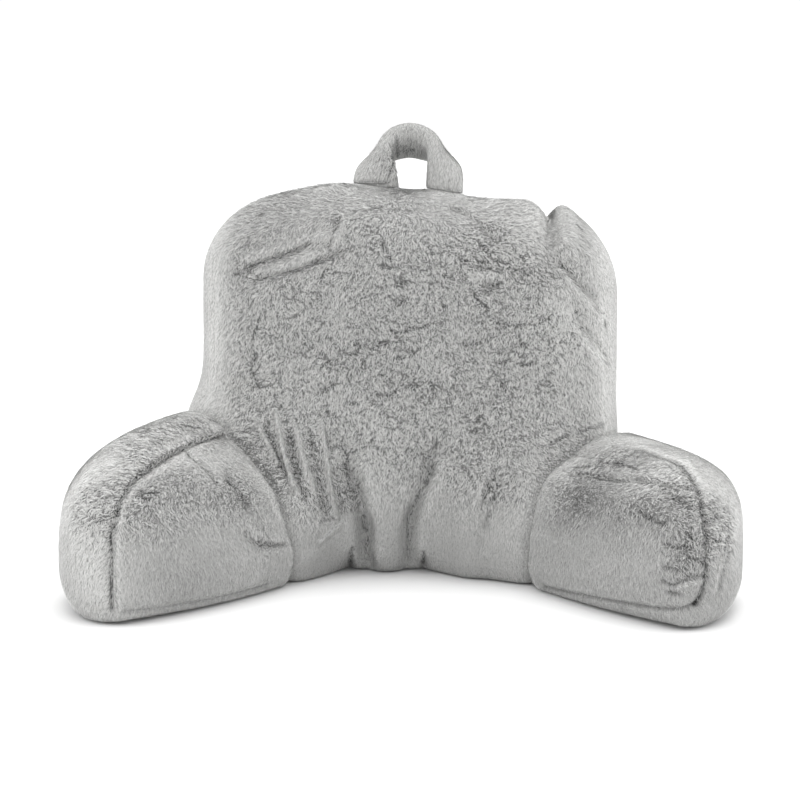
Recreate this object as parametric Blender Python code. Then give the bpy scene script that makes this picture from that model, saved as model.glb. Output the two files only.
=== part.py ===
"""Reading pillow with arms: a filled fur backrest, two splayed arms and a carry handle.

Metres, +Z up. The pillow faces -Y and stands on its flat underside at z = 0, with its origin under the
middle of its footprint. Every filled chamber is cut like a boxed cushion: a front panel and a back panel of
the same outline, joined by a boxing strip. The sizes reach as far as the pile does.
"""
import math

import bmesh
import bpy
import numpy as np

# ---- driving dimensions ----
FIT_GAP = 0.0004             # left between one filled piece and the next
FLOOR_SNAP = 0.0006          # points this near the floor lie on it

# backrest, measured at its seams
BACK_HALF_WIDTH = 0.232
BACK_HEIGHT = 0.414
BACK_LEFT_RADIUS = 0.074     # top corners
BACK_RIGHT_RADIUS = 0.094
BACK_FOOT_RADIUS = 0.030
BACK_BULGE = 0.020           # how far the boxing stands out past the seams
FRONT_CROWN = 0.034
REAR_CROWN = 0.024
FRONT_FOOT_Y = -0.015        # the front seam leans back from foot to head
FRONT_HEAD_Y = 0.048
REAR_Y = 0.149
BACK_TRIANGLES = 4600

# arms, shared sizes
ARM_REACH_IN = 0.100         # how far an arm's pattern runs on inside the backrest
ARM_FOOT_RADIUS = 0.014
ARM_CROWN = 0.020
ARM_TRIANGLES = 1700

# carry handle
HANDLE_TRIANGLES = 800
HANDLE_LEAN = math.radians(50)   # the crown's front edge is tipped up this much
HANDLE_RINGS = 41
HANDLE_SIDES = 20
HANDLE_SQUARENESS = 0.75         # 1 is an oval section, less is squarer

# Rises and dips of the backrest's top edge: where, how much, and how wide.
TOP_EDGE = [
    # x, rise, half_width
    (-0.088, 0.019, 0.070),
    (0.020, 0.009, 0.050),
    (0.164, -0.019, 0.009),
    (0.186, 0.005, 0.012),
]

# Where the fill pushes a side of the backrest out further.
SIDE_FLARES = [
    # side (-1 left, 1 right), z, out, half_height
    (-1, 0.165, 0.022, 0.042),
]

# Soft troughs (positive depth) and ridges (negative) on the front panel, each between two points.
FRONT_FOLDS = [
    # x_1, z_1, x_2, z_2, half_width, depth
    (-0.080, 0.160, -0.051, 0.062, 0.010, 0.008),
    (-0.051, 0.062, -0.053, 0.000, 0.010, 0.012),
    (0.030, 0.155, 0.003, 0.070, 0.010, 0.008),
    (0.003, 0.070, -0.003, 0.000, 0.010, 0.012),
    (-0.154, 0.170, -0.132, 0.080, 0.007, -0.004),
    (-0.132, 0.185, -0.111, 0.060, 0.006, -0.004),
    (-0.105, 0.175, -0.087, 0.060, 0.006, -0.004),
    (-0.115, 0.035, -0.076, 0.060, 0.008, -0.004),
    (0.103, 0.125, 0.086, 0.050, 0.009, 0.005),
    (-0.204, 0.352, -0.112, 0.394, 0.007, 0.005),
    (-0.184, 0.346, -0.108, 0.374, 0.007, 0.005),
    (0.174, 0.368, 0.218, 0.320, 0.009, 0.005),
    (0.192, 0.310, 0.232, 0.256, 0.009, 0.005),
    (0.041, 0.425, 0.098, 0.394, 0.009, 0.004),
]

# The front panel's foot sweeps forward to where each arm is sewn on.
FOOT_SWEEP = [
    # x, forward
    (-0.250, 0.044),
    (-0.135, 0.044),
    (-0.070, 0.000),
    (0.020, 0.000),
    (0.075, 0.030),
    (0.135, 0.052),
    (0.250, 0.050),
]
FOOT_SWEEP_FULL_Z = 0.060
FOOT_SWEEP_END_Z = 0.230

# Plan of each arm: tips of the inner and outer seams, where the outer seam meets the backrest, and two points
# inside the backrest that the hidden end runs to.
ARMS = {
    "arm_left": {
        "inner_tip": (-0.328, -0.234),
        "outer_tip": (-0.396, -0.116),
        "outer_root": (-0.252, 0.080),
        "inner_end": (-0.110, 0.060),
        "outer_end": (-0.170, 0.115),
        "height": 0.170,
        "length": 0.242,
        "inner_lift": 0.003,
        "outer_lift": 0.036,
        "roundness": 3.4,
        "tip_bulge": 0.028,
        "top_bulge": 0.026,
        "belly": 0.012,
        # the seam between arm and front panel: height, x, y
        "inner_root": [
            (0.000, -0.149, -0.078),
            (0.050, -0.139, -0.064),
            (0.080, -0.143, -0.054),
            (0.113, -0.160, -0.042),
            (0.145, -0.186, -0.028),
            (0.175, -0.207, -0.010),
        ],
    },
    "arm_right": {
        "inner_tip": (0.301, -0.254),
        "outer_tip": (0.374, -0.116),
        "outer_root": (0.252, 0.080),
        "inner_end": (0.110, 0.060),
        "outer_end": (0.170, 0.115),
        "height": 0.150,
        "length": 0.222,
        "inner_lift": 0.003,
        "outer_lift": 0.030,
        "roundness": 5.0,
        "tip_bulge": 0.028,
        "top_bulge": 0.020,
        "belly": 0.008,
        "inner_root": [
            (0.000, 0.149, -0.092),
            (0.036, 0.142, -0.080),
            (0.068, 0.140, -0.070),
            (0.099, 0.143, -0.054),
            (0.129, 0.154, -0.036),
            (0.157, 0.179, -0.014),
        ],
    },
}

# The handle's strip from its left end to its right end: centre, which way its width lies, and its size.
HANDLE_STATIONS = [
    # x, y, z, quarter turns of the width (0 along the seam, 1 front to back), width, thickness
    (-0.043, 0.104, 0.412, 0.00, 0.062, 0.024),
    (-0.042, 0.108, 0.442, 0.04, 0.059, 0.024),
    (-0.041, 0.117, 0.468, 0.34, 0.056, 0.024),
    (-0.030, 0.130, 0.490, 0.78, 0.055, 0.024),
    (-0.001, 0.137, 0.501, 1.00, 0.055, 0.023),
    (0.029, 0.130, 0.490, 1.22, 0.054, 0.024),
    (0.041, 0.117, 0.468, 1.64, 0.050, 0.024),
    (0.041, 0.108, 0.442, 1.95, 0.047, 0.024),
    (0.040, 0.104, 0.412, 2.00, 0.047, 0.024),
]

# how finely the chambers are laid out, and how full they are
OUTLINE_POINTS = 176
CROWN_ROWS = 20
BOXING_ROWS = 12
CROWN_FLATNESS = 4               # a higher power keeps a panel flatter in its middle
CROWN_FULLNESS = 0.6             # a lower power brings its edge up more steeply
BOXING_FULLNESS = 0.7
TOP_EDGE_FROM = 0.6              # share of the height from which the top edge's rises fade in
FOLD_END = 1.5                   # a fold runs out over this many half widths past its ends
ARM_CENTRE = (0.42, 0.48)        # shares of an arm's length and height

BACKREST_COLOUR = (0.40, 0.41, 0.40)
ARM_COLOUR = (0.42, 0.43, 0.42)
HANDLE_COLOUR = (0.38, 0.39, 0.38)


def smooth_step(low, high, value):
    """0 below low, 1 above high, and a soft run between them."""
    share = np.clip((value - low) / (high - low), 0.0, 1.0)
    return share * share * (3.0 - 2.0 * share)


def eased(table, value):
    """Read a two-column table with a soft run from each row to the next."""
    total = np.full(np.shape(value), table[0][1])
    for (low, first), (high, second) in zip(table, table[1:]):
        total += (second - first) * smooth_step(low, high, value)
    return total


def even_loop(points, count):
    """Points of a closed outline, spaced evenly, with their outward normals."""
    closed = np.vstack([points, points[:1]])
    steps = np.hypot(*np.diff(closed, axis=0).T)
    length = np.concatenate([[0.0], np.cumsum(steps)])
    at = np.linspace(0.0, length[-1], count, endpoint=False)
    loop = np.stack([np.interp(at, length, closed[:, k]) for k in (0, 1)], axis=1)
    run = np.roll(loop, -1, axis=0) - np.roll(loop, 1, axis=0)
    normal = np.stack([run[:, 1], -run[:, 0]], axis=1)
    return loop, normal / np.linalg.norm(normal, axis=1, keepdims=True)


def corner(centre_u, centre_w, radius, start, steps=12):
    """A quarter round, anticlockwise from the start angle in degrees."""
    angle = np.radians(start + np.linspace(0.0, 90.0, steps))
    return np.stack([centre_u + radius * np.cos(angle), centre_w + radius * np.sin(angle)], axis=1)


def backrest_outline():
    """The front panel's pattern: a rounded rectangle, wide at the top corners."""
    side, foot = BACK_HALF_WIDTH, BACK_FOOT_RADIUS
    left, right = BACK_LEFT_RADIUS, BACK_RIGHT_RADIUS
    return np.vstack([
        corner(side - foot, foot, foot, 270),
        corner(side - right, BACK_HEIGHT - right, right, 0),
        corner(-side + left, BACK_HEIGHT - left, left, 90),
        corner(-side + foot, foot, foot, 180),
    ])


def arm_outline(arm):
    """The arm's pattern: flat underneath, arched over its tip, running on into the backrest."""
    angle = np.linspace(0.0, math.pi / 2, 40)
    power = 2.0 / arm["roundness"]
    arch = np.stack([
        arm["length"] * np.cos(angle) ** power,
        ARM_FOOT_RADIUS + (arm["height"] - ARM_FOOT_RADIUS) * np.sin(angle) ** power,
    ], axis=1)
    points = np.vstack([
        corner(arm["length"] - ARM_FOOT_RADIUS, ARM_FOOT_RADIUS, ARM_FOOT_RADIUS, 270),
        arch[1:],
        [(-ARM_REACH_IN, arm["height"]), (-ARM_REACH_IN, 0.0)],
    ])
    return points


def cushion_rows(front_crown, rear_crown):
    """Rows of a boxed cushion, front to back: outline share, place between the seams, crown, bulge share."""
    rows = []
    shares = np.sin(np.linspace(0.0, math.pi / 2, CROWN_ROWS + 1))[1:]
    crown = (1.0 - shares ** CROWN_FLATNESS) ** CROWN_FULLNESS
    rows += [(share, 0.0, -front_crown * rise, 0.0) for share, rise in zip(shares, crown)]
    for step in range(1, BOXING_ROWS):
        across = step / BOXING_ROWS
        rows.append((1.0, across, 0.0, math.sin(math.pi * across) ** BOXING_FULLNESS))
    rows += [(share, 1.0, rear_crown * rise, 0.0) for share, rise in zip(shares[::-1], crown[::-1])]
    return rows


def cushion_mesh(name, outline, centre, rows, crowns, place):
    """One closed body: the outline carried from the front pole to the back pole by place()."""
    loop, normal = even_loop(outline, OUTLINE_POINTS)
    centre = np.array([centre])
    still = np.zeros((1, 2))
    points = [place(centre, still, 0.0, -crowns[0], 0.0)]
    for share, across, crown, bulge in rows:
        points.append(place(centre + (loop - centre) * share, normal, across, crown, bulge))
    points.append(place(centre, still, 1.0, crowns[1], 0.0))
    points = np.vstack(points)
    near_floor = points[:, 2] < FLOOR_SNAP
    points[near_floor, 2] = 0.0

    count = len(loop)
    last = len(points) - 1
    faces = []
    for k in range(count):
        after = (k + 1) % count
        faces.append((0, 1 + k, 1 + after))
        for row in range(len(rows) - 1):
            low, high = 1 + row * count, 1 + (row + 1) * count
            faces.append((low + k, high + k, high + after, low + after))
        final = 1 + (len(rows) - 1) * count
        faces.append((last, final + after, final + k))
    mesh = bpy.data.meshes.new(name)
    mesh.from_pydata(points.tolist(), [], faces)
    return mesh


def fold_relief(x, z):
    """How far the front panel stands back (+) or out (-) in its folds."""
    relief = np.zeros_like(x)
    for x_1, z_1, x_2, z_2, half_width, depth in FRONT_FOLDS:
        run = np.array([x_2 - x_1, z_2 - z_1])
        length = math.hypot(*run)
        along = ((x - x_1) * run[0] + (z - z_1) * run[1]) / length
        aside = ((x - x_1) * run[1] - (z - z_1) * run[0]) / length
        past_end = along - np.clip(along, 0.0, length)
        relief += depth * np.exp(-((aside / half_width) ** 2) - (past_end / (FOLD_END * half_width)) ** 2)
    return relief


def place_backrest(flat, normal, across, crown, bulge):
    """Backrest: pattern point to world point."""
    x = flat[:, 0] + normal[:, 0] * bulge * BACK_BULGE
    z = flat[:, 1] + normal[:, 1] * bulge * BACK_BULGE
    for side, centre, out, half_height in SIDE_FLARES:
        reach = smooth_step(0.5 * BACK_HALF_WIDTH, BACK_HALF_WIDTH, x * side)
        x = x + side * out * reach * np.exp(-(((z - centre) / half_height) ** 2))
    top_share = smooth_step(TOP_EDGE_FROM * BACK_HEIGHT, BACK_HEIGHT, z)
    for centre, rise, half_width in TOP_EDGE:
        z = z + top_share * rise * np.exp(-(((x - centre) / half_width) ** 2))
    up = flat[:, 1] / BACK_HEIGHT
    front = FRONT_FOOT_Y + (FRONT_HEAD_Y - FRONT_FOOT_Y) * up
    y = front + (REAR_Y - front) * across + crown
    sweep = eased(FOOT_SWEEP, x) * (1.0 - smooth_step(FOOT_SWEEP_FULL_Z, FOOT_SWEEP_END_Z, z))
    y = y + (fold_relief(x, z) - sweep) * (1.0 - across) ** 2
    return np.stack([x, y, z], axis=1)


def place_arm(arm, flat, normal, across, crown, bulge):
    """Arm: pattern point to world point. The pattern bends at the backrest to reach into it."""
    along, up = flat[:, 0], flat[:, 1]
    lift = arm["inner_lift"] + (arm["outer_lift"] - arm["inner_lift"]) * across
    up = up + lift * smooth_step(0.0, arm["length"], along) * (1.0 - up / arm["height"])
    root = np.array(arm["inner_root"])
    inner_root = np.stack([np.interp(up, root[:, 0], root[:, k]) for k in (1, 2)], axis=1)
    outer_root = np.tile(arm["outer_root"], (len(flat), 1))
    out = np.clip(along / arm["length"], 0.0, None)[:, None]
    inside = np.clip(-along / ARM_REACH_IN, 0.0, None)[:, None]

    def seam_line(root_xy, tip, end):
        return root_xy + (np.array(tip) - root_xy) * out + (np.array(end) - root_xy) * inside

    inner = seam_line(inner_root, arm["inner_tip"], arm["inner_end"])
    outer = seam_line(outer_root, arm["outer_tip"], arm["outer_end"])
    spot = inner + (outer - inner) * across
    run = (np.array(arm["inner_tip"]) - inner_root) * (1 - across)
    run = run + (np.array(arm["outer_tip"]) - outer_root) * across
    run = run / np.linalg.norm(run, axis=1, keepdims=True)
    outward = outer - inner
    outward = outward / np.linalg.norm(outward, axis=1, keepdims=True)
    out_of_tip = normal[:, :1] * bulge * arm["tip_bulge"] * (along[:, None] > 0.0)
    belly = arm["belly"] * np.sin(math.pi * np.clip(out, 0.0, 1.0)) * (1.0 - across)
    spot = spot + run * out_of_tip + outward * (crown - belly)
    return np.column_stack([spot, up + normal[:, 1] * bulge * arm["top_bulge"]])


def handle_mesh(name):
    """The padded strip, lofted through its stations, with its ends below the backrest's top."""
    table = np.array(HANDLE_STATIONS)
    fine = np.linspace(0, len(table) - 1, HANDLE_RINGS)
    smooth = np.stack([spline(table[:, k], fine) for k in range(table.shape[1])], axis=1)
    across_seam = np.array([1.0, 0.0, 0.0])
    front_up = np.array([0.0, -math.cos(HANDLE_LEAN), math.sin(HANDLE_LEAN)])
    angle = np.linspace(0.0, 2 * math.pi, HANDLE_SIDES, endpoint=False)
    ring_w = np.sign(np.cos(angle)) * np.abs(np.cos(angle)) ** HANDLE_SQUARENESS
    ring_t = np.sign(np.sin(angle)) * np.abs(np.sin(angle)) ** HANDLE_SQUARENESS
    centres = smooth[:, :3]
    runs = np.gradient(centres, axis=0)
    work = bmesh.new()
    rings = []
    for centre, run, row in zip(centres, runs, smooth):
        turn = row[3] * math.pi / 2
        wide = across_seam * math.cos(turn) + front_up * math.sin(turn)
        run = run / np.linalg.norm(run)
        wide = wide - run * wide.dot(run)
        wide = wide / np.linalg.norm(wide)
        thick = np.cross(run, wide)
        ring = centre + np.outer(ring_w, wide) * row[4] / 2 + np.outer(ring_t, thick) * row[5] / 2
        rings.append([work.verts.new(point) for point in ring])
    for first, second in zip(rings, rings[1:]):
        for k in range(len(angle)):
            after = (k + 1) % len(angle)
            work.faces.new((first[k], first[after], second[after], second[k]))
    work.faces.new(rings[0][::-1])
    work.faces.new(rings[-1])
    bmesh.ops.recalc_face_normals(work, faces=work.faces)
    mesh = bpy.data.meshes.new(name)
    work.to_mesh(mesh)
    work.free()
    return mesh


def spline(values, at):
    """A smooth curve through evenly spaced values (Catmull-Rom)."""
    padded = np.concatenate([[2 * values[0] - values[1]], values, [2 * values[-1] - values[-2]]])
    low = np.clip(np.floor(at).astype(int), 0, len(values) - 2)
    t = at - low
    p0, p1, p2, p3 = (padded[low + k] for k in range(4))
    return 0.5 * (2 * p1 + (p2 - p0) * t + (2 * p0 - 5 * p1 + 4 * p2 - p3) * t ** 2
                  + (3 * p1 - p0 - 3 * p2 + p3) * t ** 3)


def fur_material(name, colour):
    """Soft grey plush: a rough, uncoated Principled surface."""
    material = bpy.data.materials.new(name)
    material.use_nodes = True
    surface = material.node_tree.nodes["Principled BSDF"]
    surface.inputs["Base Color"].default_value = (*colour, 1.0)
    surface.inputs["Roughness"].default_value = 0.95
    surface.inputs["Metallic"].default_value = 0.0
    return material


def add_object(name, mesh, colour):
    """A smooth-shaded object in the scene, with a material of its own."""
    mesh.shade_smooth()
    mesh.materials.append(fur_material(name + "_fur", colour))
    piece = bpy.data.objects.new(name, mesh)
    bpy.context.scene.collection.objects.link(piece)
    return piece


def apply_modifiers(piece):
    """Replace the piece's mesh with its evaluated one."""
    shaped = piece.evaluated_get(bpy.context.evaluated_depsgraph_get())
    mesh = bpy.data.meshes.new_from_object(shaped)
    piece.modifiers.clear()
    piece.data = mesh


def thin_out(piece, triangles):
    """Bring the piece to its share of triangles, keeping more of them where it bends."""
    mesh = piece.data
    mesh.calc_loop_triangles()
    fewer = piece.modifiers.new("fewer", "DECIMATE")
    fewer.ratio = triangles / len(mesh.loop_triangles)
    fewer.use_collapse_triangulate = True
    apply_modifiers(piece)
    for vertex in piece.data.vertices:
        if vertex.co.z < FLOOR_SNAP:
            vertex.co.z = 0.0


def swollen_copy(piece, gap):
    """A cutter: the piece grown by the gap."""
    mesh = piece.data.copy()
    cutter = bpy.data.objects.new(piece.name + "_cutter", mesh)
    bpy.context.scene.collection.objects.link(cutter)
    normals = [vertex.normal.copy() for vertex in mesh.vertices]
    for vertex, normal in zip(mesh.vertices, normals):
        vertex.co += normal * gap
    cutter.hide_render = True
    cutter.display_type = "WIRE"
    return cutter


def cut(piece, cutter):
    """Take the cutter's space out of the piece."""
    away = piece.modifiers.new("fit", "BOOLEAN")
    away.operation = "DIFFERENCE"
    away.solver = "EXACT"
    away.object = cutter
    apply_modifiers(piece)


def centre_footprint(pieces):
    """Bring the middle of the whole object's box over the origin."""
    corners = np.array([vertex.co for piece in pieces for vertex in piece.data.vertices])
    low, high = corners.min(axis=0), corners.max(axis=0)
    for piece in pieces:
        for vertex in piece.data.vertices:
            vertex.co.x -= (low[0] + high[0]) / 2
            vertex.co.y -= (low[1] + high[1]) / 2


def build():
    for old in list(bpy.data.objects):
        bpy.data.objects.remove(old, do_unlink=True)

    crowns = (FRONT_CROWN, REAR_CROWN)
    mesh = cushion_mesh("backrest", backrest_outline(), (0.0, BACK_HEIGHT / 2),
                        cushion_rows(*crowns), crowns, place_backrest)
    backrest = add_object("backrest", mesh, BACKREST_COLOUR)
    thin_out(backrest, BACK_TRIANGLES)
    cutter = swollen_copy(backrest, FIT_GAP)

    pieces = [backrest]
    for name, arm in ARMS.items():
        crowns = (ARM_CROWN, ARM_CROWN)
        centre = (arm["length"] * ARM_CENTRE[0], arm["height"] * ARM_CENTRE[1])
        mesh = cushion_mesh(name, arm_outline(arm), centre, cushion_rows(*crowns), crowns,
                            lambda *spot, arm=arm: place_arm(arm, *spot))
        if name == "arm_right":
            mesh.flip_normals()
        piece = add_object(name, mesh, ARM_COLOUR)
        thin_out(piece, ARM_TRIANGLES)
        cut(piece, cutter)
        pieces.append(piece)

    handle = add_object("carry_handle", handle_mesh("carry_handle"), HANDLE_COLOUR)
    thin_out(handle, HANDLE_TRIANGLES)
    cut(handle, cutter)
    pieces.append(handle)
    bpy.data.objects.remove(cutter, do_unlink=True)
    centre_footprint(pieces)


build()
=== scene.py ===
"""Looks of the reading pillow with arms: plush coats on puffed cloth skins, floor, light and camera.

Each filled chamber is a cloth skin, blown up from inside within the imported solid's space, then drawn in
along its seams and creases. A coat of tapered strands grows on every skin. Metres, in the frame's own axes.
"""
import math
from typing import NamedTuple

import bmesh
import bpy
import numpy as np
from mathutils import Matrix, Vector
from mathutils.bvhtree import BVHTree


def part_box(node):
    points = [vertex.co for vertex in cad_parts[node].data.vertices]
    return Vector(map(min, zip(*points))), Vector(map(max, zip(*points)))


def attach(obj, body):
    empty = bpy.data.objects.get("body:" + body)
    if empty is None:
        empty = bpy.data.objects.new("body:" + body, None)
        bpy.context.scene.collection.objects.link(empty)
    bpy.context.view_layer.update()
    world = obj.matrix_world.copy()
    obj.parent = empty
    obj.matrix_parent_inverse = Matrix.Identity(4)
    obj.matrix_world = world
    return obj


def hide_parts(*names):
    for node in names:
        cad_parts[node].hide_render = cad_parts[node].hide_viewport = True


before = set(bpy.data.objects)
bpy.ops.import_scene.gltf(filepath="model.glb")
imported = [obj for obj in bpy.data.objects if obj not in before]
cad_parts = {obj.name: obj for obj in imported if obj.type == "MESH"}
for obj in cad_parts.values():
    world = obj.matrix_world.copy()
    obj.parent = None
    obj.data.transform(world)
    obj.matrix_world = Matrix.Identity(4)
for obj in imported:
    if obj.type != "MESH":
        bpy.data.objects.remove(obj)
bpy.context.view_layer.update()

# ---- camera, for an image of 800 by 800 pixels ----
IMAGE = 800
CAMERA_AT = np.array([-0.0013, -2.2584, 0.635])
CAMERA_AIM = np.array([-0.0013, 0.0417, 0.205])
FOCAL_PIXELS = 1990.0
PIXEL_STEP = 4.0  # between the points of a line of pixels
SENSOR = 36.0

# ---- light ----
AMBIENT = 0.77  # how strongly the backdrop lights the object
BACKDROP = 1.04  # how bright the backdrop looks
PAPER = 0.76  # the floor's reflectance
FLOOR_HALF = 8.0
SUNS = [
    # name, towards the lamp, angle across in degrees, strength
    ("overhead", (0.0, 0.05, 1.0), 70, 1.45),
    ("rear", (0.1, 0.28, 1.0), 40, 1.20),
    ("left", (-1.0, 0.05, 0.45), 60, 1.50),
    ("right", (1.0, 0.05, 0.45), 60, 1.45),
]

# ---- cloth skins ----
SKIN_SINK = 0.0013  # from the solid's face, where the pile's tips are, down to the cloth
START_SINK = 0.0026  # the cloth starts this much smaller still, and is blown up
FLOOR_CLEAR = 0.0010
PUFF_FRAMES = 20
PUFF_PRESSURE = 4.0
PUFF_CAP = 0.006  # no point of the cloth moves further than this
PLAY = 0.0006  # how far the blown-up cloth may lie above or below its even depth
SEWN_SINK = 0.1  # share of that depth that is left where the handle is sewn on
BASE_TOP = 0.02  # the underside is all below this height
VOXEL = {"backrest": 0.0046, "arm_left": 0.0040, "arm_right": 0.0040, "carry_handle": 0.0024}

# ---- pile ----
STRANDS = {"backrest": 476000, "arm_left": 146000, "arm_right": 146000, "carry_handle": 26000}
BASE_THINNER = 0.85  # share of the strands that the underside lacks
REAR_THINNER = 0.35
COATS = {"backrest": 3, "arm_left": 1, "arm_right": 1, "carry_handle": 1}
PILE = 0.0075
STRAND_WIDTH = 0.00070
TUFT = 0.0014  # from one tuft to the next
CROWDED = 0.007  # the pile is shorter this near a neighbour
TOP_NAP_TURN = 0.08  # how far from the middle the nap along the top edge has turned outwards
FLAT_LEAN = 86.0  # degrees from upright, where the pile is brushed flat
RUFFLED_LEAN = 66.0
RUFFLED_PILE = 0.0055  # length of the pile where it is ruffled
PITS = 0.11  # share of the tufts that lie low, painted with shade, where the pile is ruffled
ROOT_SINK = 0.0004  # the strands' roots are this far under the cloth
STRAND_TWIST = 0.08  # radians between the strands of a tuft
TWIST_MORE = 2.5  # times that, added where the pile is ruffled
STRAND_LEAN = 0.02
LEAN_MORE = 3.0
LEAN_RANGE = (0.6, 1.54)  # radians from upright
LENGTH_RANGE = (0.6, 1.3)  # of a strand, as a share of the pile's
LENGTH_SPREAD = 0.12
CROWDED_PILE = 0.35  # share of a strand's length that is left against a neighbour
BASE_SHORTER = 0.5
PIT_SHORTER = 0.5
CURL_CUT = 0.22  # least share of a strand that is left where a parting of the pile cuts it off
CREASE_CUT = 0.2
GATHER = 0.12  # how far the tips of a tuft come together
GATHER_SPREAD = 0.08
GATHER_MORE = 0.30  # added where the pile is ruffled
GATHER_MOST = 0.7

# Values of the pile: where it lies flat, and how much is added where it is ruffled.
TUFT_TWIST = (0.05, 0.55)  # radians between tufts
TUFT_LEAN = (1.0, 7.0)  # degrees between tufts
TUFT_TONE = (0.01, 0.08)
STRAND_TONE = (0.05, 0.30)
STIFF = (0.10, 0.50)  # how far a strand is shaded as a blade, not as the cloth under it

# Curls: the pile parts along lines this far apart, and stands out this high between them.
CURLS = [
    # size, height, least ruffle, full ruffle
    (0.0033, 0.0011, 0.20, 0.80),
    (0.0075, 0.0013, 0.60, 1.00),
]
CURL_TURN = 0.45  # radians that the pile of neighbouring curls turns apart
CURL_SQUEEZE = np.array([0.55, 1.0, 1.30])  # along x, y and z: curls are longer across than up

# ---- seams, folds and partings ----

# Sewn seams seen from the front: how wide and deep each is, how dark its groove is painted with shade, and
# the pixels that it passes through.
SEAMS = {
    # piece: rows of half_width, depth, shade, pixels
    "arm_left": [
        (0.0025, 0.0044, 1.0, [(232, 431), (214, 437), (192, 444), (168, 456), (150, 468), (133, 480),
            (121, 497), (116, 512), (111, 537), (110, 575), (111, 608)]),
        (0.0024, 0.0016, 0.25, [(123, 611), (150, 609), (176, 605), (202, 601), (226, 596), (266, 585)]),
    ],
    "arm_right": [
        (0.0022, 0.0016, 0.3, [(640, 449), (656, 456), (678, 463)]),
        (0.0026, 0.0048, 1.0, [(680, 465), (686, 472), (692, 475), (694, 482), (699, 490), (701, 500),
            (703, 508), (701, 515), (704, 522), (706, 532), (706, 545), (708, 552), (706, 560), (706, 570),
            (709, 576), (704, 581), (704, 596), (696, 604)]),
        (0.0028, 0.003, 0.5, [(696, 604), (686, 608), (676, 609), (660, 609), (640, 606), (610, 601),
            (580, 595), (560, 591), (545, 587)]),
    ],
}
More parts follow.
